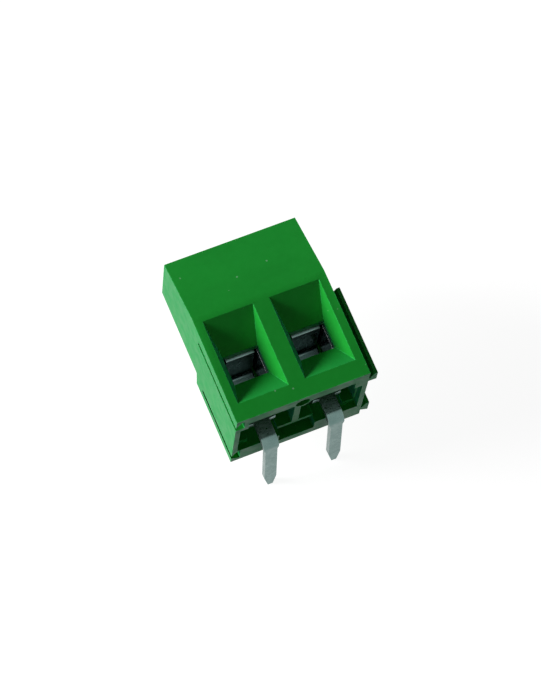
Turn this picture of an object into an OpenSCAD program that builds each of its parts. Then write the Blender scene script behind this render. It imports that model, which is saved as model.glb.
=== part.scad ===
// Two-pole screw terminal block for a printed circuit board, lying type:
// the wires enter from above, the clamp screws face the back, and the solder
// pins leave the open front of the case and bend down through the board.
//
// Frame: X runs along the row of poles, +Y points to the back of the case and
// +Z up from the board. The origin is on the board, in the middle of the row
// of solder pins. Sizes marked "from the face" are measured from the open
// front of the case, which stands pin_reach behind the row of pins.

/* [Row] */
// Distance between the poles
pitch = 5.08; // [5.0:0.02:5.6]
// Distance from the row of solder pins back to the open face of the case
pin_reach = 1.25; // [0.9:0.05:2.2]

/* [Case] */
// Length of the case from its open face to its back
case_l = 13.4; // [13.1:0.1:16]
// Height of the level top over the board
top_h = 8.8; // [8.5:0.1:10]
// Length of the level top from the face
top_l = 8.35; // [8.1:0.05:9.4]
// Height of the top edge at the back
back_h = 7.2; // [7.0:0.1:8]
// Height of the raised underside behind the foot
foot_h = 1.75; // [0.8:0.05:1.85]
// Length of the foot that stands on the board
foot_l = 6.5; // [5.8:0.1:7.5]
// Length of the slope from the foot up to the raised underside
foot_slope = 0.2; // [0.1:0.05:0.8]

/* [Wire funnels] */
// Width of a funnel at its mouth
mouth_w = 3.84; // [3.4:0.02:4.0]
// Front edge of the mouth from the face
mouth_front = 1.3; // [1.0:0.05:1.8]
// Back edge of the mouth from the face
mouth_back = 7.85; // [7.0:0.05:8.0]
// Width of the window at the bottom of a funnel
window_w = 2.68; // [2.3:0.02:3.0]
// Front edge of the window from the face
window_front = 3.15; // [2.9:0.05:3.4]
// Length of the window
window_l = 2.2; // [1.8:0.05:2.4]
// Depth of a funnel below the top
funnel_depth = 1.6; // [1.3:0.05:1.8]
// Thickness of the wall around the window
window_wall = 0.65; // [0.5:0.05:0.8]

/* [Clamp cage] */
// Sheet thickness
cage_t = 0.65; // [0.5:0.05:0.7]
// Clear width inside the cage
cage_clear_w = 2.55; // [2.45:0.05:2.7]
// Clear height inside the cage, from the wire wall to the threaded wall
cage_clear_h = 2.9; // [2.7:0.05:3.2]
// Inside radius of the two bends at the wire wall
cage_bend = 0.45; // [0.2:0.05:0.8]
// Outside radius of the two bends at the threaded wall
cage_shoulder = 0.7; // [0.4:0.05:0.9]
// Width of the seam between the two lapped layers
seam_w = 0.06; // [0.04:0.01:0.1]
// Clearance between the cage and its chamber, each side
cage_gap = 0.1; // [0.05:0.01:0.15]
// Gap left between the raised cage and the strip
clamp_gap = 0.15; // [0.1:0.05:0.4]
// Room behind the raised cage
stop_gap = 0.25; // [0.1:0.05:0.4]

/* [Contact strip] */
// Thickness of the strip
strip_t = 0.5; // [0.4:0.05:0.5]
// Width of the strip inside the case
strip_w = 2.2; // [1.8:0.05:2.2]
// Inside radius of its bends
strip_bend = 0.3; // [0.2:0.05:0.35]
// Wire space between the open cage and the strip
wire_gap = 2.0; // [1.7:0.05:2.1]
// Distance from the face to the upright jog of the strip
jog_y = 1.45; // [1.2:0.05:1.6]
// Height of the stretch that leaves the case
exit_z = 3.85; // [3.6:0.05:4.6]
// Clearance beside the strip in its slot, each side
strip_gap = 0.05; // [0.03:0.01:0.1]

/* [Solder pins] */
// Width of the stretch that leaves the case
exit_w = 1.2; // [1.0:0.05:1.4]
// Width of a pin
pin_w = 0.95; // [0.8:0.05:1.0]
// Length of the shoulder that narrows to the pin
shoulder_l = 0.4; // [0.2:0.05:0.6]
// Reach of a pin below the board's face
pin_drop = 2.8; // [2.0:0.1:4.5]
// Forward lean of a pin from the upright
pin_lean = 7; // [0:0.5:10]
// Length of the pointed end
point_l = 1.2; // [0.5:0.1:1.6]
// Width left at the point
point_w = 0.4; // [0.3:0.05:0.7]

/* [Clamp screw] */
// Room between the thread and each inside wall of the cage
thread_side = 0.025; // [0.02:0.005:0.1]
// Running clearance between thread and cage, on the radius
thread_gap = 0.05; // [0.02:0.01:0.1]
// Head diameter
head_d = 3.8; // [3.5:0.05:3.9]
// Head height
head_h = 1.55; // [1.2:0.05:1.8]
// Width of the driver slot
slot_w = 0.8; // [0.5:0.05:1.0]
// Depth of the driver slot
slot_depth = 0.9; // [0.5:0.05:1.0]
// Gap between the tip of the screw and the strip that it presses
tip_gap = 0.1; // [0.05:0.01:0.15]
// Gap between the head and the collar of the driver hole
head_gap = 0.15; // [0.05:0.05:0.3]
// Width of the collar that keeps the head in the case
collar_w = 0.15; // [0.1:0.05:0.3]
// Chamfer of the screw and of its driver hole
chamfer = 0.3; // [0.2:0.05:0.4]

/* [Open face] */
// Height of the lip under the top
lip_h = 1.2; // [0.9:0.05:1.25]
// Depth of the recess behind the lip
recess_depth = 0.5; // [0.3:0.05:0.7]
// Thickness of the side walls beside the recess
side_wall = 0.4; // [0.3:0.05:0.5]
// Height of the recess floor, on which the strips lie
floor_z = 2.05; // [2.0:0.05:2.2]
// Thickness of the partition's nose between the poles
nose_w = 0.5; // [0.4:0.05:0.8]
// Depth of the partition's nose
nose_l = 0.9; // [0.5:0.05:1.2]
// Thickness of the foot under the middle channel
sole_t = 0.9; // [0.7:0.05:1.1]
// Thickness of the shelf over the middle channel
shelf_t = 0.4; // [0.3:0.05:0.6]
// Depth of the middle channel
channel_depth = 2.0; // [1.2:0.1:3]
// Radius of the round gate relief in the lip
gate_r = 0.55; // [0.4:0.05:0.6]
// Height of its centre over the lip's lower edge
gate_rise = 0.2; // [0.1:0.05:0.3]
// Thickness of the rim under it
gate_rim = 0.15; // [0.1:0.05:0.25]

/* [Side keys] */
// How far a key stands out of the right side
key_out = 0.62; // [0.5:0.01:0.64]
// Width of the level land on top of a key's rim
key_land = 0.25; // [0.15:0.05:0.3]
// Thickness of a key's neck
key_neck = 0.35; // [0.3:0.05:0.5]
// Clearance of a key in the neighbour's groove
key_gap = 0.04; // [0.02:0.01:0.05]
// Height of the upper key's underside over the roof of the chambers
high_key_rise = 0.5; // [0.4:0.05:0.6]
// Height of the upper key's outer face
high_key_h = 1.25; // [1.1:0.05:1.3]
// Rise of its underside towards the case
high_key_under = 0.05; // [0.05:0.05:0.3]
// Length of the upper key from the face
high_key_l = 6.9; // [5.5:0.1:7.2]
// Height of the lower key's underside over the board
low_key_z = 0.4; // [0.3:0.05:0.5]
// Height of the lower key's outer face
low_key_h = 1.5; // [1.3:0.05:1.5]
// Rise of its underside towards the case
low_key_under = 0.45; // [0.2:0.05:0.5]
// Length of the lower key from the face
low_key_l = 5.45; // [5:0.05:6.1]

/* [Hidden] */
over = 1;
round_fn = 64;

case_w = 2 * pitch;
window_z = top_h - funnel_depth;
lip_z = top_h - lip_h;
window_back = window_front + window_l;

// Cage: its wire wall starts level with the window's front edge.
roof_z = window_z - window_wall;
cage_top = roof_z - cage_gap;
cage_w = cage_clear_w + 2 * cage_t;
wire_wall = window_front - cage_t;
cage_back = window_front + cage_clear_h + 2 * cage_t;
chamber_w = cage_w + 2 * cage_gap;
chamber_floor = floor_z + strip_t;
pocket_w = pitch - 2 * (key_out + key_gap + cage_gap + nose_w / 2);
nose_cut = (pitch - chamber_w - nose_w) / 2;
channel_w = pitch - strip_w - 2 * strip_gap;
cage_l = cage_top - chamber_floor - cage_gap;
screw_z = cage_top - cage_l / 2;
gate_z = lip_z + gate_rise;
high_key_z = roof_z + high_key_rise;

// Contact strip: bar under the screw, run under the cage, jog, exit and pin.
bar_y = window_front + wire_gap + strip_t / 2;
run_z = floor_z + strip_t / 2;
bend_r = strip_bend + strip_t / 2;
pin_root = tan(pin_lean) * exit_z - pin_reach;
pin_bend = 90 - pin_lean;

// Clamp travel and screw.
cage_travel = wire_gap - clamp_gap;
thread_d = cage_clear_w - 2 * thread_side;
screw_tip = bar_y + strip_t / 2 + tip_gap;
collar_y = case_l - window_wall;
head_top = collar_y - head_gap;
shank_l = head_top - head_h - screw_tip;
shank_r = thread_d / 2 - thread_gap;
chamber_end = cage_back + cage_travel + stop_gap;
head_bore_r = head_d / 2 + cage_gap;
driver_r = head_d / 2 - collar_w;

// Place of the funnel's front wall at height z, from the face.
function funnel_front(z) =
    mouth_front + (top_h - z) * (window_front - mouth_front) / funnel_depth;

// Level distance that leaves one window_wall behind the funnel's front wall.
roof_set = window_wall * norm([window_front - mouth_front, funnel_depth]) / funnel_depth;

// Extrudes a [Y, Z] outline along X, centred on X = 0.
module along_x(w) {
    rotate([90, 0, 90]) translate([0, 0, -w / 2]) linear_extrude(w) children();
}

// Extrudes an [X, Z] outline along Y, from y0 to y0 + l.
module along_y(y0, l) {
    translate([0, y0 + l, 0]) rotate([90, 0, 0]) linear_extrude(l) children();
}

// A cylinder along Y, from y0 to y0 + l.
module rod_y(y0, l, r, r_end = -1) {
    translate([0, y0, 0]) rotate([-90, 0, 0])
        cylinder(h = l, r1 = r, r2 = r_end < 0 ? r : r_end, $fn = round_fn);
}

// Places what belongs to one pole: side is -1 for the left one, 1 for the right.
module pole(side) {
    translate([side * pitch / 2, 0, 0]) children();
}

// Moves what is measured from the open face into the board's frame.
module from_face() {
    translate([0, pin_reach, 0]) children();
}

// Side view of the case.
module case_outline() {
    polygon([[0, 0], [0, top_h], [top_l, top_h], [case_l, back_h],
             [case_l, foot_h], [foot_l + foot_slope, foot_h], [foot_l, 0]]);
}

// Wire funnel with four sloping walls, and the window at its bottom.
module funnel() {
    intersection() {
        along_y(0, case_l)
            polygon([[-mouth_w / 2, top_h + over], [-mouth_w / 2, top_h],
                     [-window_w / 2, window_z], [window_w / 2, window_z],
                     [mouth_w / 2, top_h], [mouth_w / 2, top_h + over]]);
        along_x(case_w)
            polygon([[mouth_front, top_h + over], [mouth_front, top_h],
                     [window_front, window_z], [window_back, window_z],
                     [mouth_back, top_h], [mouth_back, top_h + over]]);
    }
    translate([-window_w / 2, window_front, roof_z - over])
        cube([window_w, window_l, window_wall + 2 * over]);
}

// Chamber of one pole: room for the cage's travel and for the strip under it,
// with a narrower pocket under the sloping front wall of the funnel.
module chamber() {
    along_x(chamber_w)
        polygon([[0, chamber_floor], [0, roof_z], [chamber_end, roof_z],
                 [chamber_end, chamber_floor]]);
    along_x(pocket_w)
        polygon([[0, roof_z - over], [0, lip_z], [funnel_front(lip_z) - roof_set, lip_z],
                 [funnel_front(roof_z) - roof_set, roof_z],
                 [funnel_front(roof_z) - roof_set, roof_z - over]]);
    translate([-strip_w / 2 - strip_gap, 0, floor_z])
        cube([strip_w + 2 * strip_gap, bar_y + strip_t / 2 + strip_gap, strip_t + over]);
}

// Bore for the screw head, with its collar and the driver's countersink.
module screw_bore() {
    translate([0, 0, screw_z]) {
        rod_y(chamber_end - over, collar_y - chamber_end + over, head_bore_r);
        rod_y(collar_y - over, case_l - collar_y + 2 * over, driver_r);
        rod_y(case_l - chamfer, 2 * chamfer, driver_r, driver_r + 2 * chamfer);
    }
}

// Recess and middle channel in the open face, and the relief at the gate,
// whose rim stays in front of the partition.
module face_cuts() {
    difference() {
        union() {
            translate([side_wall - case_w / 2, -over, floor_z])
                cube([case_w - 2 * side_wall, recess_depth + over, roof_z - floor_z]);
            translate([-(pitch + pocket_w) / 2, -over, roof_z - over])
                cube([pitch + pocket_w, recess_depth + over, lip_z - roof_z + over]);
        }
        translate([0, 0, gate_z]) rod_y(0, recess_depth + over, gate_r + gate_rim);
    }
    translate([0, 0, gate_z]) rod_y(-over, recess_depth + over, gate_r);
    translate([-channel_w / 2, -over, sole_t])
        cube([channel_w, channel_depth + over, chamber_floor - shelf_t - sole_t]);
    for (side = [-1, 1])
        translate([side * (nose_w + nose_cut) / 2 - nose_cut / 2, 0, chamber_floor])
            cube([nose_cut, recess_depth + nose_l, roof_z - chamber_floor]);
}

// Height that a clearance takes on a flank that runs dx out and dz up.
function flank_gap(grow, dx, dz) = grow * norm([dx, dz]) / dx;

// Outline of a side key, standing out of X = 0 towards +X: a neck under a rim
// with a level land, which hooks upwards. The rim's underside is at height z,
// its outer face is h high, and its underside rises by under towards the case.
module key_outline(z, h, under, root, grow) {
    slope_w = key_out - key_land;
    neck_low = z + under - flank_gap(grow, key_out, under);
    neck_top = z + under + key_neck + flank_gap(grow, slope_w, h - under - key_neck);
    polygon([[-root, neck_low], [0, neck_low], [key_out + grow, z - grow],
             [key_out + grow, z + h + grow], [slope_w, z + h + grow],
             [0, neck_top], [-root, neck_top]]);
}

// The two keys on the right side, or with grow the grooves for the
// neighbour's keys on the left side.
module side_keys(y0, root, grow = 0) {
    along_y(y0, high_key_l + grow - y0)
        key_outline(high_key_z, high_key_h, high_key_under, root, grow);
    along_y(y0, low_key_l + grow - y0)
        key_outline(low_key_z, low_key_h, low_key_under, root, grow);
}

// Moulded case, open at its front face.
module housing() {
    color("green") from_face() difference() {
        union() {
            along_x(case_w) case_outline();
            translate([case_w / 2, 0, 0]) side_keys(0, side_wall / 2);
        }
        translate([-case_w / 2, 0, 0]) side_keys(-over, over, key_gap);
        face_cuts();
        for (side = [-1, 1]) pole(side) {
            funnel();
            chamber();
            screw_bore();
        }
    }
}

// Cuts one convex corner at the origin, towards +X and +Y, to radius r.
module corner_cut(r) {
    difference() {
        translate([-over, -over]) square(r + over);
        translate([r, r]) circle(r, $fn = round_fn);
    }
}

// Rectangle with rounded corners: r_low at its low Y side, r_high at the other.
module rounded_box(w, y0, y1, r_low, r_high) {
    difference() {
        translate([-w / 2, y0]) square([w, y1 - y0]);
        for (flip = [0, 1]) mirror([flip, 0]) {
            translate([-w / 2, y0]) corner_cut(r_low);
            translate([-w / 2, y1]) mirror([0, 1]) corner_cut(r_high);
        }
    }
}

// Folded sheet cage round the wire, with its two ends lapped over each other
// at the back, where the clamp screw's thread goes through both layers.
module cage() {
    seam_y = cage_back - cage_t;
    difference() {
        translate([0, 0, cage_top - cage_l]) linear_extrude(cage_l) difference() {
            rounded_box(cage_w, wire_wall, cage_back, cage_bend + cage_t, cage_shoulder);
            rounded_box(cage_clear_w, window_front, seam_y - cage_t, cage_bend, seam_w);
            translate([-cage_w / 2 - over, seam_y - seam_w / 2])
                square([over + cage_w / 2 + cage_clear_w / 2, seam_w]);
        }
        translate([0, 0, screw_z])
            rod_y(seam_y - cage_t - over, 2 * cage_t + 2 * over, thread_d / 2);
    }
}

// Slotted cheese head screw. The thread itself is left plain.
module screw() {
    translate([0, 0, screw_z]) difference() {
        union() {
            rod_y(screw_tip, chamfer, shank_r - chamfer, shank_r);
            rod_y(screw_tip + chamfer, shank_l - chamfer + head_h / 2, shank_r);
            rod_y(head_top - head_h, head_h - chamfer / 2, head_d / 2);
            rod_y(head_top - chamfer / 2, chamfer / 2, head_d / 2, head_d / 2 - chamfer / 2);
        }
        translate([-head_d, head_top - slot_depth, -slot_w / 2])
            cube([2 * head_d, slot_depth + over, slot_w]);
    }
}

// One flat leg of the strip, along X from the origin. The last leg narrows
// from exit_w at a shoulder and is pointed.
module strip_leg(l, w, last) {
    start_w = last ? exit_w : w;
    end_w = last ? point_w : w;
    taper = last ? point_l : 0;
    shoulder = last ? shoulder_l : 0;
    translate([0, 0, -strip_t / 2]) linear_extrude(strip_t)
        polygon([[0, -start_w / 2], [shoulder, -w / 2], [l - taper, -w / 2], [l, -end_w / 2],
                 [l, end_w / 2], [l - taper, w / 2], [shoulder, w / 2], [0, start_w / 2]]);
}

// Strip of flat legs joined by bends. Each leg is [length, width, bend after
// it], where a positive bend turns towards +Z and the last leg is pointed.
module bent_strip(legs, i = 0) {
    last = i == len(legs) - 1;
    l = legs[i][0];
    w = legs[i][1];
    bend = legs[i][2];
    strip_leg(l, w, last);
    if (!last) translate([l, 0, 0]) mirror([0, 0, bend < 0 ? 1 : 0]) {
        translate([0, 0, bend_r]) rotate([90, 0, 0]) rotate(-90)
            rotate_extrude(angle = abs(bend), $fn = round_fn)
                translate([strip_bend, -w / 2]) square([strip_t, w]);
        translate([0, 0, bend_r]) rotate([0, -abs(bend), 0]) translate([0, 0, -bend_r])
            mirror([0, 0, bend < 0 ? 1 : 0]) bent_strip(legs, i + 1);
    }
}

// Contact: a bar for the screw and the wire, a run under the cage, a jog up,
// and the stretch that leaves the case and bends down as the solder pin.
module contact() {
    set = bend_r * tan(pin_bend / 2);
    legs = [
        [cage_top - run_z - bend_r, strip_w, 90],
        [bar_y - jog_y - 2 * bend_r, strip_w, 90],
        [exit_z - run_z - 2 * bend_r, strip_w, -90],
        [jog_y - pin_root - bend_r - set, exit_w, -pin_bend],
        [(exit_z + pin_drop) / cos(pin_lean) - set, pin_w, 0]
    ];
    translate([0, bar_y, cage_top]) rotate([0, 90, -90]) bent_strip(legs);
}

module left_cage() { color("silver") from_face() pole(-1) cage(); }
module right_cage() { color("silver") from_face() pole(1) cage(); }
module left_screw() { color("gainsboro") from_face() pole(-1) screw(); }
module right_screw() { color("gainsboro") from_face() pole(1) screw(); }
module left_contact() { color("lightgray") from_face() pole(-1) contact(); }
module right_contact() { color("lightgray") from_face() pole(1) contact(); }

housing();
left_cage();
right_cage();
left_screw();
right_screw();
left_contact();
right_contact();
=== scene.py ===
"""Dresses a two-pole screw terminal block: case, clamp cages, screws and contacts.

Everything is in metres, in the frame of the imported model: X runs along the row of
poles, +Y points to the back of the case and +Z up from the board.
"""
import logging
import math
from dataclasses import dataclass
from enum import Enum
from typing import Dict, List, Optional, Sequence, Tuple, Union

import bmesh
import bpy
from mathutils import Matrix, Vector


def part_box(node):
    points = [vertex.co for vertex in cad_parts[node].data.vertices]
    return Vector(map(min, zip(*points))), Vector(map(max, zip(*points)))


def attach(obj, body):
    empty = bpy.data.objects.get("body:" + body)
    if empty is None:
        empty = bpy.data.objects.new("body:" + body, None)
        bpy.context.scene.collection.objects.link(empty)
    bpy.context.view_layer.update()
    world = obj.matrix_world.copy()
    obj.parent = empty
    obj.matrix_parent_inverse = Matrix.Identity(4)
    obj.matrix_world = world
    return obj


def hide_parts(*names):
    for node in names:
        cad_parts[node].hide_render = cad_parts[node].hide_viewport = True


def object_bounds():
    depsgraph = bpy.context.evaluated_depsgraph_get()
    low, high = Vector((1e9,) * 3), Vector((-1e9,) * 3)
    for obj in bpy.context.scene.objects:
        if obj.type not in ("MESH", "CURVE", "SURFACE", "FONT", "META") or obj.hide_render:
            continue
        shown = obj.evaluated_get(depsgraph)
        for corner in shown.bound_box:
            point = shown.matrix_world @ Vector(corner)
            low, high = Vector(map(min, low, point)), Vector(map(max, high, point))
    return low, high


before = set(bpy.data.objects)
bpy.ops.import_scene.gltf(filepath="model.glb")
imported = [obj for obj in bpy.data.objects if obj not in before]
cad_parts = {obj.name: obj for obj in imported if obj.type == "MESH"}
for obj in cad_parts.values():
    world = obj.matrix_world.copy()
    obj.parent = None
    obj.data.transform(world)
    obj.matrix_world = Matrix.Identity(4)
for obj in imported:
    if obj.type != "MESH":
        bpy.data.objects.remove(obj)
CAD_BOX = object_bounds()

MM = 0.001
MIDDLE = (0.0, 7.25 * MM, 4.0 * MM)
WELD_REACH = 2e-7
FLAT_BEND = 0.6
CUT_REACH = 1e-7
Colour = Tuple[float, float, float]
Input = Union[bpy.types.NodeSocket, float, Sequence[float]]

log = logging.getLogger("terminal_block")


class Side(Enum):
    """The two poles of the block."""

    LEFT = -1
    RIGHT = 1

    @property
    def word(self) -> str:
        """The side as it stands in the names of nodes and bodies."""
        return self.name.lower()


class Lay(Enum):
    """The way in which fine lines run over a metal surface."""

    ROLLED_ALONG_Z = (0.12, 1.0, 0.05)
    ROLLED_ALONG_X = (0.05, 1.0, 1.0)


# ---------------------------------------------------------------- node wiring


class Wiring:
    """Adds nodes to one node tree and links them."""

    def __init__(self, tree: bpy.types.NodeTree) -> None:
        """Keeps the tree.

        Args:
            tree: The tree of a material, a world or a node group.
        """
        self.tree = tree

    def put(self, kind: str, inputs: Optional[Dict[object, Input]] = None,
            **settings: object) -> bpy.types.Node:
        """Adds one node.

        Args:
            kind: The node's type name.
            inputs: Values or sockets for its inputs, by name or number.
            **settings: Properties of the node.

        Returns:
            The new node.
        """
        node = self.tree.nodes.new(kind)
        for name, value in settings.items():
            setattr(node, name, value)
        for key, value in (inputs or {}).items():
            if isinstance(value, bpy.types.NodeSocket):
                self.tree.links.new(value, node.inputs[key])
            else:
                node.inputs[key].default_value = value
        return node

    def math(self, operation: str, first: Input, second: Input = 0.0,
             clamp: bool = False) -> bpy.types.NodeSocket:
        """Adds a Math node.

        Args:
            operation: The operation's name.
            first: First value.
            second: Second value.
            clamp: Whether the result is kept from 0 to 1.

        Returns:
            The result's socket.
        """
        node = self.put("ShaderNodeMath", {0: first, 1: second},
                        operation=operation, use_clamp=clamp)
        return node.outputs[0]

    def vector(self, operation: str, first: Input,
               second: Input = (0.0, 0.0, 0.0)) -> bpy.types.Node:
        """Adds a Vector Math node and returns it.

        Args:
            operation: The operation's name.
            first: First vector.
            second: Second vector.

        Returns:
            The node, because its result is a vector or a value.
        """
        return self.put("ShaderNodeVectorMath", {0: first, 1: second}, operation=operation)

    def noise(self, place: Input, scale: Input, detail: float = 2.0,
              rough: float = 0.5) -> bpy.types.NodeSocket:
        """Adds a noise texture.

        Args:
            place: Where it is read.
            scale: Waves for a metre.
            detail: Octaves.
            rough: Strength of the finer octaves.

        Returns:
            The noise's value, about 0.5 on average.
        """
        node = self.put("ShaderNodeTexNoise", {"Vector": place, "Scale": scale,
                                               "Detail": detail, "Roughness": rough})
        return node.outputs["Fac"]

    def span(self, value: Input, low: float, high: float, to_low: Input = 0.0,
             to_high: Input = 1.0) -> bpy.types.NodeSocket:
        """Maps a value smoothly from one range to another, and clamps it.

        Args:
            value: The value.
            low: Start of its range.
            high: End of its range.
            to_low: Result at the start.
            to_high: Result at the end.

        Returns:
            The mapped value's socket.
        """
        node = self.put("ShaderNodeMapRange", {"Value": value, "From Min": low,
                                               "From Max": high, "To Min": to_low,
                                               "To Max": to_high},
                        interpolation_type="SMOOTHSTEP")
        return node.outputs[0]

    def mix(self, share: Input, first: Input, second: Input) -> bpy.types.NodeSocket:
        """Mixes two colours.

        Args:
            share: Share of the second colour.
            first: First colour, with alpha.
            second: Second colour, with alpha.

        Returns:
            The mixed colour's socket.
        """
        node = self.put("ShaderNodeMix", {0: share, 6: first, 7: second}, data_type="RGBA")
        return node.outputs[2]

    def group(self, tree: bpy.types.NodeTree, **inputs: Input) -> bpy.types.Node:
        """Places a node group.

        Args:
            tree: The group.
            **inputs: Its inputs, with _ for a space in a name.

        Returns:
            The group's node.
        """
        node = self.tree.nodes.new("ShaderNodeGroup")
        node.node_tree = tree
        for key, value in inputs.items():
            socket = node.inputs[key.replace("_", " ")]
            if isinstance(value, bpy.types.NodeSocket):
                self.tree.links.new(value, socket)
            else:
                socket.default_value = value
        return node


class EffectGroups:
    """The shader node groups that the finishes share, each built once."""

    SWIRL_SCALE = 9000.0
    SWIRL_REACH = 0.08 * MM
    DRIFT_SCALE = 420.0
    DRIFT_SHARE = 0.6
    COARSE_SHARE = 0.17
    COARSE_HEIGHT = 0.6
    BEND_SEEN = 0.995
    BEND_FULL = 0.85
    PATCH_BARE = 0.3
    PATCH_FULL = 0.6
    TONE_LOW = 0.3
    TONE_HIGH = 0.7

    def __init__(self) -> None:
        """Builds all the groups."""
        self.moulded_grain = self._moulded_grain()
        self.edge_lightening = self._edge_lightening()
        self.flow_tone = self._flow_tone()
        self.dust_specks = self._dust_specks()
        self.fine_lines = self._fine_lines()
        self.turned_rings = self._turned_rings()

    @staticmethod
    def _start(name: str, inputs: Sequence[Tuple[str, str, object]],
               outputs: Sequence[str]) -> Tuple[Wiring, bpy.types.Node, bpy.types.Node]:
        """Makes an empty group with its sockets.

        Args:
            name: The group's name.
            inputs: Name, socket type and default of each input.
            outputs: Names of its value outputs.

        Returns:
            Its wiring, its input node and its output node.
        """
        tree = bpy.data.node_groups.new(name, "ShaderNodeTree")
        for label, kind, value in inputs:
            socket = tree.interface.new_socket(label, in_out="INPUT", socket_type=kind)
            socket.default_value = value
        for label in outputs:
            tree.interface.new_socket(label, in_out="OUTPUT", socket_type="NodeSocketFloat")
        wire = Wiring(tree)
        return wire, wire.put("NodeGroupInput"), wire.put("NodeGroupOutput")

    def _moulded_grain(self) -> bpy.types.NodeTree:
        """Fine spark-eroded grain of a mould, as a height and a tone.

        Returns:
            The group.
        """
        wire, given, result = self._start(
            "moulded_grain", [("Scale", "NodeSocketFloat", 5000.0)], ["Height", "Tone"])
        place = wire.put("ShaderNodeTexCoord").outputs["Object"]
        fine = wire.noise(place, given.outputs["Scale"], 3.0, 0.6)
        wide = wire.noise(place, wire.math("MULTIPLY", given.outputs["Scale"],
                                           self.COARSE_SHARE), 2.0)
        height = wire.math("ADD", fine,
                           wire.math("MULTIPLY", wide, self.COARSE_HEIGHT))
        wire.tree.links.new(height, result.inputs["Height"])
        wire.tree.links.new(wide, result.inputs["Tone"])
        return wire.tree

    def _edge_lightening(self) -> bpy.types.NodeTree:
        """Mask of the outer edges, where the finishes lighten their colour; on the case and the
        sheet metal that lightening is a painted highlight.

        Returns:
            The group.
        """
        wire, given, result = self._start(
            "edge_lightening", [("Radius", "NodeSocketFloat", 0.0001),
                          ("Break Up", "NodeSocketFloat", 3000.0)], ["Mask"])
        round_normal = wire.put("ShaderNodeBevel", {"Radius": given.outputs["Radius"]},
                                samples=6).outputs[0]
        flat_normal = wire.put("ShaderNodeNewGeometry").outputs["Normal"]
        bend = wire.vector("DOT_PRODUCT", round_normal, flat_normal).outputs["Value"]
        edge = wire.span(bend, self.BEND_SEEN, self.BEND_FULL)
        place = wire.put("ShaderNodeTexCoord").outputs["Object"]
        patch = wire.span(wire.noise(place, given.outputs["Break Up"], 3.0),
                          self.PATCH_BARE, self.PATCH_FULL)
        wire.tree.links.new(wire.math("MULTIPLY", edge, patch), result.inputs["Mask"])
        return wire.tree

    def _flow_tone(self) -> bpy.types.NodeTree:
        """Slow clouds of tone, as in a moulding's flow or in a dull plating.

        Returns:
            The group.
        """
        wire, given, result = self._start(
            "flow_tone", [("Scale", "NodeSocketFloat", 300.0),
                          ("Contrast", "NodeSocketFloat", 1.0)], ["Tone"])
        place = wire.put("ShaderNodeTexCoord").outputs["Object"]
        cloud = wire.noise(place, given.outputs["Scale"], 3.0, 0.55)
        centred = wire.math("SUBTRACT", cloud, 0.5)
        tone = wire.math("ADD", wire.math("MULTIPLY", centred, given.outputs["Contrast"]),
                         0.5, clamp=True)
        wire.tree.links.new(tone, result.inputs["Tone"])
        return wire.tree

    def _dust_specks(self) -> bpy.types.NodeTree:
        """Mask of sparse small specks of dust and scuffs.

        Returns:
            The group.
        """
        wire, given, result = self._start(
            "dust_specks", [("Scale", "NodeSocketFloat", 1500.0),
                            ("Size", "NodeSocketFloat", 0.12)], ["Mask"])
        place = wire.put("ShaderNodeTexCoord").outputs["Object"]
        swirl = wire.put("ShaderNodeTexNoise", {"Vector": place,
                                                "Scale": self.SWIRL_SCALE})
        sway = wire.vector("SCALE", swirl.outputs["Color"])
        sway.inputs["Scale"].default_value = self.SWIRL_REACH
        bent = wire.vector("ADD", place, sway.outputs[0])
        cell = wire.put("ShaderNodeTexVoronoi", {"Vector": bent.outputs[0],
                                                 "Scale": given.outputs["Scale"]})
        spot = wire.math("LESS_THAN", cell.outputs["Distance"], given.outputs["Size"])
        some = wire.math("GREATER_THAN", wire.noise(place, self.DRIFT_SCALE, 1.0),
                         self.DRIFT_SHARE)
        wire.tree.links.new(wire.math("MULTIPLY", spot, some), result.inputs["Mask"])
        return wire.tree

    def _fine_lines(self) -> bpy.types.NodeTree:
        """Fine parallel lines of rolled or drawn metal, as a height and a tone.

        Returns:
            The group.
        """
        wire, given, result = self._start(
            "fine_lines", [("Stretch", "NodeSocketVector", (1.0, 1.0, 1.0)),
                           ("Scale", "NodeSocketFloat", 12000.0)], ["Height", "Tone"])
        place = wire.put("ShaderNodeTexCoord").outputs["Object"]
        drawn = wire.vector("MULTIPLY", place, given.outputs["Stretch"]).outputs[0]
        line = wire.noise(drawn, given.outputs["Scale"], 4.0, 0.65)
        wire.tree.links.new(line, result.inputs["Height"])
        tone = wire.span(line, self.TONE_LOW, self.TONE_HIGH)
        wire.tree.links.new(tone, result.inputs["Tone"])
        return wire.tree

    def _turned_rings(self) -> bpy.types.NodeTree:
        """Fine rings round an axis along Y, as a lathe leaves them.

        Returns:
            The group.
        """
        wire, given, result = self._start(
            "turned_rings", [("Axis X", "NodeSocketFloat", 0.0),
                             ("Axis Z", "NodeSocketFloat", 0.0),
                             ("Scale", "NodeSocketFloat", 9000.0)], ["Height", "Tone"])
        place = wire.put("ShaderNodeTexCoord").outputs["Object"]
        parts = wire.put("ShaderNodeSeparateXYZ", {0: place})
        across = wire.math("SUBTRACT", parts.outputs[0], given.outputs["Axis X"])
        up = wire.math("SUBTRACT", parts.outputs[2], given.outputs["Axis Z"])
        flat = wire.put("ShaderNodeCombineXYZ", {0: across, 2: up})
        radius = wire.vector("LENGTH", flat.outputs[0]).outputs["Value"]
        along = wire.put("ShaderNodeCombineXYZ", {0: radius, 1: parts.outputs[1]})
        ring = wire.noise(along.outputs[0], given.outputs["Scale"], 3.0, 0.6)
        wire.tree.links.new(ring, result.inputs["Height"])
        tone = wire.span(ring, self.TONE_LOW, self.TONE_HIGH)
        wire.tree.links.new(tone, result.inputs["Tone"])
        return wire.tree


# ------------------------------------------------------------------- finishes


def rgba(colour: Colour) -> Tuple[float, float, float, float]:
    """The colour with full alpha."""
    return (*colour, 1.0)


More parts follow.
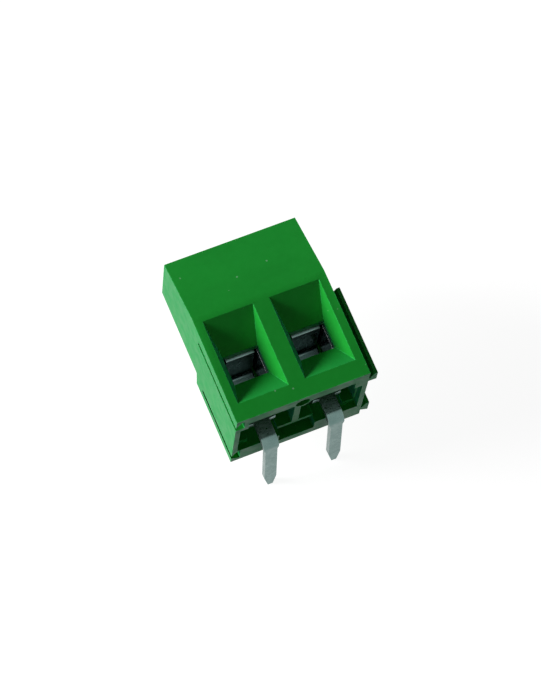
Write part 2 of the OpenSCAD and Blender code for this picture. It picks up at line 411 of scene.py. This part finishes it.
@dataclass(frozen=True)
class MouldedPolyamide:
    """Green moulded polyamide with a fine grain and a painted highlight along its edges."""

    slot: str = "case_plastic"
    body: Colour = (0.012, 0.33, 0.028)
    deep: Colour = (0.008, 0.26, 0.020)
    pale: Colour = (0.020, 0.40, 0.045)
    # Lighter green of the painted highlight along the outer edges.
    edge_highlight: Colour = (0.06, 0.68, 0.17)
    dust: Colour = (0.30, 0.60, 0.36)
    roughness: float = 0.42
    gloss: float = 0.08
    sheen: float = 0.45
    sheen_tint: Colour = (0.12, 0.60, 1.0)
    sheen_roughness: float = 0.35
    grain: float = 0.10
    grain_scale: float = 7000.0
    grain_depth: float = 0.02 * MM
    smoother: float = 0.05
    rougher: float = 0.06
    flow_scale: float = 260.0
    flow_contrast: float = 1.6
    cloud_scale: float = 1900.0
    cloud_contrast: float = 1.2
    cloud_share: float = 0.35
    edge_tint_radius: float = 0.11 * MM
    edge_tint_patch: float = 2600.0
    edge_tint_share: float = 0.75
    speck_scale: float = 1400.0
    speck_size: float = 0.10
    speck_share: float = 0.5
    refraction: float = 1.53

    def material(self, groups: EffectGroups) -> bpy.types.Material:
        """Builds the plastic's material.

        Args:
            groups: The shared effects.

        Returns:
            The material.
        """
        paint, wire, shader = start_material(self.slot)
        flow = wire.group(groups.flow_tone, Scale=self.flow_scale,
                          Contrast=self.flow_contrast).outputs["Tone"]
        fine = wire.group(groups.flow_tone, Scale=self.cloud_scale,
                          Contrast=self.cloud_contrast).outputs["Tone"]
        tone = wire.mix(flow, rgba(self.deep), rgba(self.body))
        tone = wire.mix(wire.math("MULTIPLY", fine, self.cloud_share), tone,
                        rgba(self.pale))
        # Lightens the outer edges: a painted highlight.
        edge_tint_mask = wire.group(groups.edge_lightening, Radius=self.edge_tint_radius,
                          Break_Up=self.edge_tint_patch).outputs["Mask"]
        tone = wire.mix(wire.math("MULTIPLY", edge_tint_mask, self.edge_tint_share), tone,
                        rgba(self.edge_highlight))
        specks = wire.group(groups.dust_specks, Scale=self.speck_scale,
                            Size=self.speck_size).outputs["Mask"]
        tone = wire.mix(wire.math("MULTIPLY", specks, self.speck_share), tone,
                        rgba(self.dust))
        grain = wire.group(groups.moulded_grain, Scale=self.grain_scale)
        rough = wire.span(grain.outputs["Tone"], groups.TONE_LOW, groups.TONE_HIGH,
                          self.roughness - self.smoother, self.roughness + self.rougher)
        bump = wire.put("ShaderNodeBump", {"Strength": self.grain,
                                           "Distance": self.grain_depth,
                                           "Height": grain.outputs["Height"]})
        link_inputs(wire, shader, {"Base Color": tone, "Roughness": rough,
                                   "Normal": bump.outputs[0]})
        shader.inputs["IOR"].default_value = self.refraction
        shader.inputs["Specular IOR Level"].default_value = self.gloss
        shader.inputs["Sheen Weight"].default_value = self.sheen
        shader.inputs["Sheen Roughness"].default_value = self.sheen_roughness
        shader.inputs["Sheen Tint"].default_value = rgba(self.sheen_tint)
        return paint


@dataclass(frozen=True)
class PlatedSheet:
    """Plated sheet metal with fine rolling lines and a painted highlight along its edges."""

    name: str
    slot: str
    body: Colour
    dull: Colour
    edge: Colour
    roughness: float
    lay: Lay
    line_strength: float = 0.12
    line_depth: float = 0.01 * MM
    line_scale: float = 26000.0
    smoother: float = 0.06
    rougher: float = 0.08
    cloud_scale: float = 900.0
    cloud_contrast: float = 2.0
    edge_tint_radius: float = 0.07 * MM
    edge_tint_patch: float = 5000.0
    edge_tint_share: float = 0.7

    def material(self, groups: EffectGroups) -> bpy.types.Material:
        """Builds the sheet's material.

        Args:
            groups: The shared effects.

        Returns:
            The material.
        """
        paint, wire, shader = start_material(self.name)
        cloud = wire.group(groups.flow_tone, Scale=self.cloud_scale,
                           Contrast=self.cloud_contrast).outputs["Tone"]
        lines = wire.group(groups.fine_lines, Stretch=self.lay.value,
                           Scale=self.line_scale)
        tone = wire.mix(cloud, rgba(self.dull), rgba(self.body))
        # Lightens the outer edges towards the edge colour: a painted highlight.
        edge_tint_mask = wire.group(groups.edge_lightening, Radius=self.edge_tint_radius,
                          Break_Up=self.edge_tint_patch).outputs["Mask"]
        tone = wire.mix(wire.math("MULTIPLY", edge_tint_mask, self.edge_tint_share), tone,
                        rgba(self.edge))
        rough = wire.span(lines.outputs["Tone"], 0.0, 1.0,
                          self.roughness - self.smoother, self.roughness + self.rougher)
        bump = wire.put("ShaderNodeBump", {"Strength": self.line_strength,
                                           "Distance": self.line_depth,
                                           "Height": lines.outputs["Height"]})
        link_inputs(wire, shader, {"Base Color": tone, "Roughness": rough,
                                   "Normal": bump.outputs[0]})
        shader.inputs["Metallic"].default_value = 1.0
        return paint


@dataclass(frozen=True)
class TurnedSteel:
    """Zinc-plated screw steel with fine rings round the screw's axis."""

    name: str
    axis_x: float
    axis_z: float
    slot: str = "screw_steel"
    body: Colour = (0.46, 0.47, 0.46)
    dull: Colour = (0.33, 0.34, 0.34)
    edge: Colour = (0.68, 0.69, 0.68)
    roughness: float = 0.30
    ring_strength: float = 0.25
    ring_depth: float = 0.01 * MM
    ring_scale: float = 9000.0
    smoother: float = 0.05
    rougher: float = 0.10
    cloud_scale: float = 700.0
    cloud_contrast: float = 1.8
    edge_tint_radius: float = 0.08 * MM
    edge_tint_patch: float = 4000.0
    edge_tint_share: float = 0.8

    def material(self, groups: EffectGroups) -> bpy.types.Material:
        """Builds the screw's material.

        Args:
            groups: The shared effects.

        Returns:
            The material.
        """
        paint, wire, shader = start_material(self.name)
        cloud = wire.group(groups.flow_tone, Scale=self.cloud_scale,
                           Contrast=self.cloud_contrast).outputs["Tone"]
        rings = wire.group(groups.turned_rings, Axis_X=self.axis_x, Axis_Z=self.axis_z,
                           Scale=self.ring_scale)
        tone = wire.mix(cloud, rgba(self.dull), rgba(self.body))
        edge_tint_mask = wire.group(groups.edge_lightening, Radius=self.edge_tint_radius,
                          Break_Up=self.edge_tint_patch).outputs["Mask"]
        tone = wire.mix(wire.math("MULTIPLY", edge_tint_mask, self.edge_tint_share), tone,
                        rgba(self.edge))
        rough = wire.span(rings.outputs["Tone"], 0.0, 1.0,
                          self.roughness - self.smoother, self.roughness + self.rougher)
        bump = wire.put("ShaderNodeBump", {"Strength": self.ring_strength,
                                           "Distance": self.ring_depth,
                                           "Height": rings.outputs["Height"]})
        link_inputs(wire, shader, {"Base Color": tone, "Roughness": rough,
                                   "Normal": bump.outputs[0]})
        shader.inputs["Metallic"].default_value = 1.0
        return paint


def start_material(name: str) -> Tuple[bpy.types.Material, Wiring, bpy.types.Node]:
    """Makes a material with a shader and an output.

    Args:
        name: The material's name.

    Returns:
        The material, its wiring and its Principled shader.
    """
    paint = bpy.data.materials.new(name)
    paint.use_nodes = True
    paint.node_tree.nodes.clear()
    wire = Wiring(paint.node_tree)
    shader = wire.put("ShaderNodeBsdfPrincipled")
    wire.put("ShaderNodeOutputMaterial", {"Surface": shader.outputs[0]})
    return paint, wire, shader


def link_inputs(wire: Wiring, shader: bpy.types.Node,
                sources: Dict[str, bpy.types.NodeSocket]) -> None:
    """Links sockets to a shader's inputs.

    Args:
        wire: The wiring of the shader's tree.
        shader: The shader.
        sources: Sockets by the name of the input that they feed.
    """
    for name, source in sources.items():
        wire.tree.links.new(source, shader.inputs[name])


# --------------------------------------------------------------------- meshes


def solid_from_node(node: str) -> bmesh.types.BMesh:
    """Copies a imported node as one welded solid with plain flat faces.

    Args:
        node: The node's name.

    Returns:
        The solid, which the caller frees.
    """
    solid = bmesh.new()
    solid.from_mesh(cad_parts[node].data)
    bmesh.ops.remove_doubles(solid, verts=solid.verts, dist=WELD_REACH)
    bmesh.ops.dissolve_limit(solid, angle_limit=math.radians(FLAT_BEND),
                             verts=solid.verts, edges=solid.edges)
    return solid


def round_edges(solid: bmesh.types.BMesh, radius: float, least_bend: float = 24.0,
                steps: int = 2) -> None:
    """Rounds a solid's sharp edges.

    Args:
        solid: The solid.
        radius: Width taken off each side of an edge.
        least_bend: Least angle between two faces, in degrees, of an edge that counts.
        steps: Facets across a rounded edge.
    """
    sharp = [edge for edge in solid.edges if edge.is_manifold
             and edge.calc_face_angle() > math.radians(least_bend)]
    bmesh.ops.bevel(solid, geom=sharp, offset=radius, offset_type="OFFSET",
                    segments=steps, profile=0.6, affect="EDGES", clamp_overlap=True,
                    miter_outer="ARC", loop_slide=True)


def add_object(name: str, solid: bmesh.types.BMesh, paint: bpy.types.Material,
               smooth_under: float = 40.0) -> bpy.types.Object:
    """Makes an object of a solid and frees the solid.

    Args:
        name: The object's name.
        solid: The solid.
        paint: Its material.
        smooth_under: Angle in degrees under which two faces are shaded as one.

    Returns:
        The object.
    """
    bmesh.ops.recalc_face_normals(solid, faces=solid.faces)
    for face in solid.faces:
        face.smooth = True
    for edge in solid.edges:
        edge.smooth = edge.is_manifold and edge.calc_face_angle() < math.radians(smooth_under)
    mesh = bpy.data.meshes.new(name)
    solid.to_mesh(mesh)
    solid.free()
    mesh.materials.append(paint)
    piece = bpy.data.objects.new(name, mesh)
    bpy.context.scene.collection.objects.link(piece)
    weigh = piece.modifiers.new("flat_faces", "WEIGHTED_NORMAL")
    weigh.keep_sharp = True
    return piece


def seat(piece: bpy.types.Object, body: str, node: str) -> bpy.types.Object:
    """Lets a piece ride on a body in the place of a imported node.

    Args:
        piece: The piece.
        body: The body that carries it.
        node: The node that it stands for.

    Returns:
        The piece.
    """
    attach(piece, body)
    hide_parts(node)
    triangles = sum(len(face.vertices) - 2 for face in piece.data.polygons)
    log.info("%s rides on %s: %d triangles", piece.name, body, triangles)
    return piece


@dataclass
class MouldedCase:
    """The green case, with the small radii that its mould leaves on every edge."""

    node: str = "housing"
    body: str = "case"
    edge_radius: float = 0.07 * MM
    finish: MouldedPolyamide = MouldedPolyamide()

    def build(self, groups: EffectGroups) -> bpy.types.Object:
        """Builds and dresses the case.

        Args:
            groups: The shared effects.

        Returns:
            The case.
        """
        solid = solid_from_node(self.node)
        round_edges(solid, self.edge_radius)
        piece = add_object("case_moulding", solid, self.finish.material(groups))
        return seat(piece, self.body, self.node)


@dataclass
class ClampCage:
    """A folded steel cage that the clamp screw pulls against the wire."""

    side: Side
    edge_radius: float = 0.05 * MM
    least_bend: float = 40.0

    def build(self, paint: bpy.types.Material) -> bpy.types.Object:
        """Builds and dresses the cage.

        Args:
            paint: The cage's material.

        Returns:
            The cage.
        """
        node = f"{self.side.word}_cage"
        solid = solid_from_node(node)
        round_edges(solid, self.edge_radius, self.least_bend)
        piece = add_object(f"{self.side.word}_clamp_cage", solid, paint)
        return seat(piece, f"{self.side.word}_clamp", node)


@dataclass
class ContactStrip:
    """A stamped and bent contact with its solder pin."""

    side: Side
    edge_radius: float = 0.05 * MM
    least_bend: float = 30.0

    def build(self, paint: bpy.types.Material) -> bpy.types.Object:
        """Builds and dresses the contact.

        Args:
            paint: The contact's material.

        Returns:
            The contact.
        """
        node = f"{self.side.word}_contact"
        solid = solid_from_node(node)
        round_edges(solid, self.edge_radius, self.least_bend)
        piece = add_object(f"{self.side.word}_contact_strip", solid, paint)
        return seat(piece, "case", node)


@dataclass
class ClampScrew:
    """A slotted screw with a cut thread on its shank.

    Attributes:
        neck_run: Length under the head over which the thread runs out.
        overlap: How far the shank reaches into the head.
        weld: Distance within which the thread's corners are joined.
        measured_tip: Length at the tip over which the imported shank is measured.
        run_in: Turns of thread begun before the tip, and cut off there.
        spare_turns: Turns added so that the thread reaches the head all round.
        steps: Corners in one turn.
        smooth_under: Angle in degrees under which two faces are shaded as one.
    """

    side: Side
    pitch: float = 0.45 * MM
    thread_depth: float = 0.244 * MM
    crest: float = 0.056 * MM
    root: float = 0.1125 * MM
    tip_chamfer: float = 0.3 * MM
    head_height: float = 1.55 * MM
    edge_radius: float = 0.05 * MM
    neck_run: float = 0.35 * MM
    overlap: float = 0.02 * MM
    weld: float = 0.001 * MM
    measured_tip: float = 1.0 * MM
    run_in: float = 1.5
    spare_turns: int = 3
    steps: int = 48
    smooth_under: float = 28.0

    def build(self, groups: EffectGroups) -> bpy.types.Object:
        """Builds and dresses the screw.

        Args:
            groups: The shared effects.

        Returns:
            The screw.
        """
        node = f"{self.side.word}_screw"
        low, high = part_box(node)
        axis = ((low.x + high.x) / 2, (low.z + high.z) / 2)
        solid = self._head(node, high.y - self.head_height)
        shank_radius = self._shank_radius(node, axis, low.y)
        self._thread(solid, axis, low.y, high.y - self.head_height, shank_radius)
        finish = TurnedSteel(f"{self.side.word}_screw_steel", axis[0], axis[1])
        piece = add_object(f"{self.side.word}_clamp_screw", solid, finish.material(groups),
                           self.smooth_under)
        return seat(piece, f"{self.side.word}_driver", node)

    def _head(self, node: str, underside: float) -> bmesh.types.BMesh:
        """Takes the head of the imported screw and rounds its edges.

        Args:
            node: The screw's node.
            underside: Place of the head's underside along Y.

        Returns:
            The head.
        """
        solid = solid_from_node(node)
        everything = list(solid.verts) + list(solid.edges) + list(solid.faces)
        cut = bmesh.ops.bisect_plane(solid, geom=everything, dist=CUT_REACH,
                                     plane_co=(0.0, underside + self.overlap / 2, 0.0),
                                     plane_no=(0.0, 1.0, 0.0), clear_inner=True)
        rim = [item for item in cut["geom_cut"] if isinstance(item, bmesh.types.BMEdge)]
        bmesh.ops.contextual_create(solid, geom=rim)
        round_edges(solid, self.edge_radius)
        return solid

    def _shank_radius(self, node: str, axis: Tuple[float, float], tip: float) -> float:
        """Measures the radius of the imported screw's shank.

        Args:
            node: The screw's node.
            axis: X and Z of its axis.
            tip: Place of its tip along Y.

        Returns:
            The radius.
        """
        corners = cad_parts[node].data.vertices
        near = [corner.co for corner in corners if corner.co.y < tip + self.measured_tip]
        return max(math.hypot(co.x - axis[0], co.z - axis[1]) for co in near)

    def _profile(self) -> List[Tuple[float, float]]:
        """One pitch of the thread, as shares of the pitch and of its depth.

        Returns:
            Place along the pitch and depth below the crest of each corner.
        """
        flank = (self.pitch - self.crest - self.root) / 2
        return [(0.0, 0.0), (self.crest, 0.0), (self.crest + flank, self.thread_depth),
                (self.crest + flank + self.root, self.thread_depth)]

    def _thread(self, solid: bmesh.types.BMesh, axis: Tuple[float, float], tip: float,
                neck: float, radius: float) -> None:
        """Adds the threaded shank to a solid.

        Args:
            solid: The solid that holds the head.
            axis: X and Z of the screw's axis.
            tip: Place of the shank's tip along Y.
            neck: Place of the head's underside along Y.
            radius: Radius over the thread.
        """
        profile = self._profile()
        turns = int((neck - tip) / self.pitch) + self.spare_turns
        rows = [(turn * self.pitch + place, depth)
                for turn in range(turns) for place, depth in profile]
        start = tip - self.run_in * self.pitch
        grid: List[List[bmesh.types.BMVert]] = []
        for step in range(self.steps):
            angle = 2 * math.pi * step / self.steps
            column = []
            for place, depth in rows:
                y = start + place + self.pitch * step / self.steps
                y = min(max(y, tip), neck + self.overlap)
                allowed = radius - max(0.0, self.tip_chamfer - (y - tip))
                runout = max(0.0, (neck - y) / self.neck_run) * self.thread_depth
                depth = min(depth, runout)
                reach = min(radius - depth, allowed)
                column.append(solid.verts.new((axis[0] + reach * math.cos(angle), y,
                                               axis[1] - reach * math.sin(angle))))
            grid.append(column)
        for step in range(self.steps):
            after = grid[(step + 1) % self.steps]
            shift = len(profile) if step == self.steps - 1 else 0
            for row in range(len(rows) - 1 - shift):
                corners = (grid[step][row], grid[step][row + 1],
                           after[row + 1 + shift], after[row + shift])
                solid.faces.new(corners)
        made = [vert for column in grid for vert in column]
        bmesh.ops.remove_doubles(solid, verts=made, dist=self.weld)
        bmesh.ops.dissolve_degenerate(solid, dist=CUT_REACH, edges=solid.edges)
        rim = [edge for edge in solid.edges if edge.is_boundary]
        bmesh.ops.holes_fill(solid, edges=rim, sides=0)


# --------------------------------------------------------------------- studio


@dataclass
class Studio:
    """White floor, one wide soft lamp at the left and a weak even fill."""

    floor_reach: float = 3.0
    floor_albedo: float = 0.32
    floor_glow: float = 0.92
    fill: float = 0.06
    lamp_from: Tuple[float, float, float] = (-0.878, 0.375, 0.295)
    lamp_distance: float = 0.8
    lamp_size: float = 0.42
    lamp_power: float = 9.3

    def build(self, centre: Vector, lowest: float) -> None:
        """Builds floor, lamp and world.

        Args:
            centre: Middle of the object.
            lowest: Height of the floor.
        """
        self._floor(lowest)
        self._lamp(centre)
        self._world()
        scene = bpy.context.scene
        scene.view_settings.view_transform = "Standard"

    def _seen_directly(self, wire: Wiring) -> bpy.types.NodeSocket:
        """Mask of the rays that show a background: camera, gloss and glass.

        Args:
            wire: The wiring of a material or world.

        Returns:
            The mask's socket.
        """
        path = wire.put("ShaderNodeLightPath")
        seen = wire.math("MAXIMUM", path.outputs["Is Camera Ray"], path.outputs["Is Glossy Ray"])
        return wire.math("MAXIMUM", seen, path.outputs["Is Transmission Ray"])

    def _floor(self, lowest: float) -> None:
        """Lays the floor, which is white where it isn't shaded.

        Args:
            lowest: Height of the floor.
        """
        mesh = bpy.data.meshes.new("floor")
        reach = self.floor_reach
        mesh.from_pydata([(-reach, -reach, lowest), (reach, -reach, lowest),
                          (reach, reach, lowest), (-reach, reach, lowest)], [], [(0, 1, 2, 3)])
        floor = bpy.data.objects.new("floor", mesh)
        bpy.context.scene.collection.objects.link(floor)
        paint = bpy.data.materials.new("white_paper")
        paint.use_nodes = True
        paint.node_tree.nodes.clear()
        wire = Wiring(paint.node_tree)
        albedo = self.floor_albedo
        matt = wire.put("ShaderNodeBsdfDiffuse", {"Color": (albedo, albedo, albedo, 1.0)})
        glow = wire.put("ShaderNodeEmission", {"Color": (1.0, 1.0, 1.0, 1.0),
                                               "Strength": self.floor_glow})
        both = wire.put("ShaderNodeAddShader", {0: matt.outputs[0], 1: glow.outputs[0]})
        mixed = wire.put("ShaderNodeMixShader", {0: self._seen_directly(wire),
                                                 1: matt.outputs[0], 2: both.outputs[0]})
        wire.put("ShaderNodeOutputMaterial", {"Surface": mixed.outputs[0]})
        mesh.materials.append(paint)
        log.info("floor at %.2f mm", lowest / MM)

    def _lamp(self, centre: Vector) -> None:
        """Hangs the soft lamp.

        Args:
            centre: The point that it faces.
        """
        light = bpy.data.lights.new("soft_lamp", "AREA")
        light.shape = "DISK"
        light.size = self.lamp_size
        light.energy = self.lamp_power
        lamp = bpy.data.objects.new("soft_lamp", light)
        bpy.context.scene.collection.objects.link(lamp)
        direction = Vector(self.lamp_from).normalized()
        lamp.location = centre + direction * self.lamp_distance
        lamp.rotation_euler = direction.to_track_quat("Z", "Y").to_euler()
        log.info("lamp %s, %.1f W", lamp.name, light.energy)

    def _world(self) -> None:
        """Sets the even fill, with a white background where it is seen."""
        world = bpy.data.worlds.new("even_fill")
        world.use_nodes = True
        world.node_tree.nodes.clear()
        wire = Wiring(world.node_tree)
        fill = wire.put("ShaderNodeBackground", {"Strength": self.fill})
        white = wire.put("ShaderNodeBackground", {"Strength": 1.0})
        for sky in (fill, white):
            sky.inputs["Color"].default_value = (1.0, 1.0, 1.0, 1.0)
        mixed = wire.put("ShaderNodeMixShader", {0: self._seen_directly(wire),
                                                 1: fill.outputs[0], 2: white.outputs[0]})
        wire.put("ShaderNodeOutputWorld", {"Surface": mixed.outputs[0]})
        bpy.context.scene.world = world


@dataclass
class Camera:
    """Camera that looks down on the open front of the block."""

    target: Tuple[float, float, float] = MIDDLE
    azimuth: float = -32.517
    elevation: float = 69.551
    roll: float = 10.442
    distance: float = 200.0 * MM
    slide: Tuple[float, float] = (0.269 * MM, -0.245 * MM)
    lens: float = 142.878
    near: float = 0.01
    far: float = 20.0

    def build(self) -> bpy.types.Object:
        """Places the camera and makes it the scene's.

        Returns:
            The camera.
        """
        a, e, r = (math.radians(v) for v in (self.azimuth, self.elevation, self.roll))
        back = Vector((math.sin(a) * math.cos(e), -math.cos(a) * math.cos(e), math.sin(e)))
        level = Vector((math.cos(a), math.sin(a), 0.0))
        upright = back.cross(level)
        right = level * math.cos(r) + upright * math.sin(r)
        up = upright * math.cos(r) - level * math.sin(r)
        place = (Vector(self.target) + back * self.distance
                 + right * self.slide[0] + up * self.slide[1])
        data = bpy.data.cameras.new("camera")
        data.lens = self.lens
        data.clip_start = self.near
        data.clip_end = self.far
        camera = bpy.data.objects.new("camera", data)
        bpy.context.scene.collection.objects.link(camera)
        turn = Matrix((right, up, back)).transposed().to_4x4()
        camera.matrix_world = Matrix.Translation(place) @ turn
        bpy.context.scene.camera = camera
        return camera


def main() -> None:
    """Builds every sub-assembly in order."""
    logging.basicConfig(level=logging.INFO, format="%(message)s")
    groups = EffectGroups()
    # The cage's and the contact's body and dull colours are kept dark as painted shade of the
    # case's inside, and their edge colours are painted highlights.
    zinc = PlatedSheet("cage_zinc", "cage_steel", body=(0.20, 0.22, 0.25),
                       dull=(0.12, 0.14, 0.16), edge=(0.75, 0.78, 0.78),
                       roughness=0.26, lay=Lay.ROLLED_ALONG_X).material(groups)
    tin = PlatedSheet("contact_tin", "contact_tin", body=(0.17, 0.26, 0.24),
                      dull=(0.12, 0.20, 0.185), edge=(0.40, 0.50, 0.47),
                      roughness=0.32, lay=Lay.ROLLED_ALONG_Z).material(groups)
    MouldedCase().build(groups)
    for side in Side:
        ClampCage(side).build(zinc)
        ClampScrew(side).build(groups)
        ContactStrip(side).build(tin)
    lowest = CAD_BOX[0][2]
    Studio().build(Vector(MIDDLE), lowest)
    Camera().build()


if __name__ == "__main__":
    main()
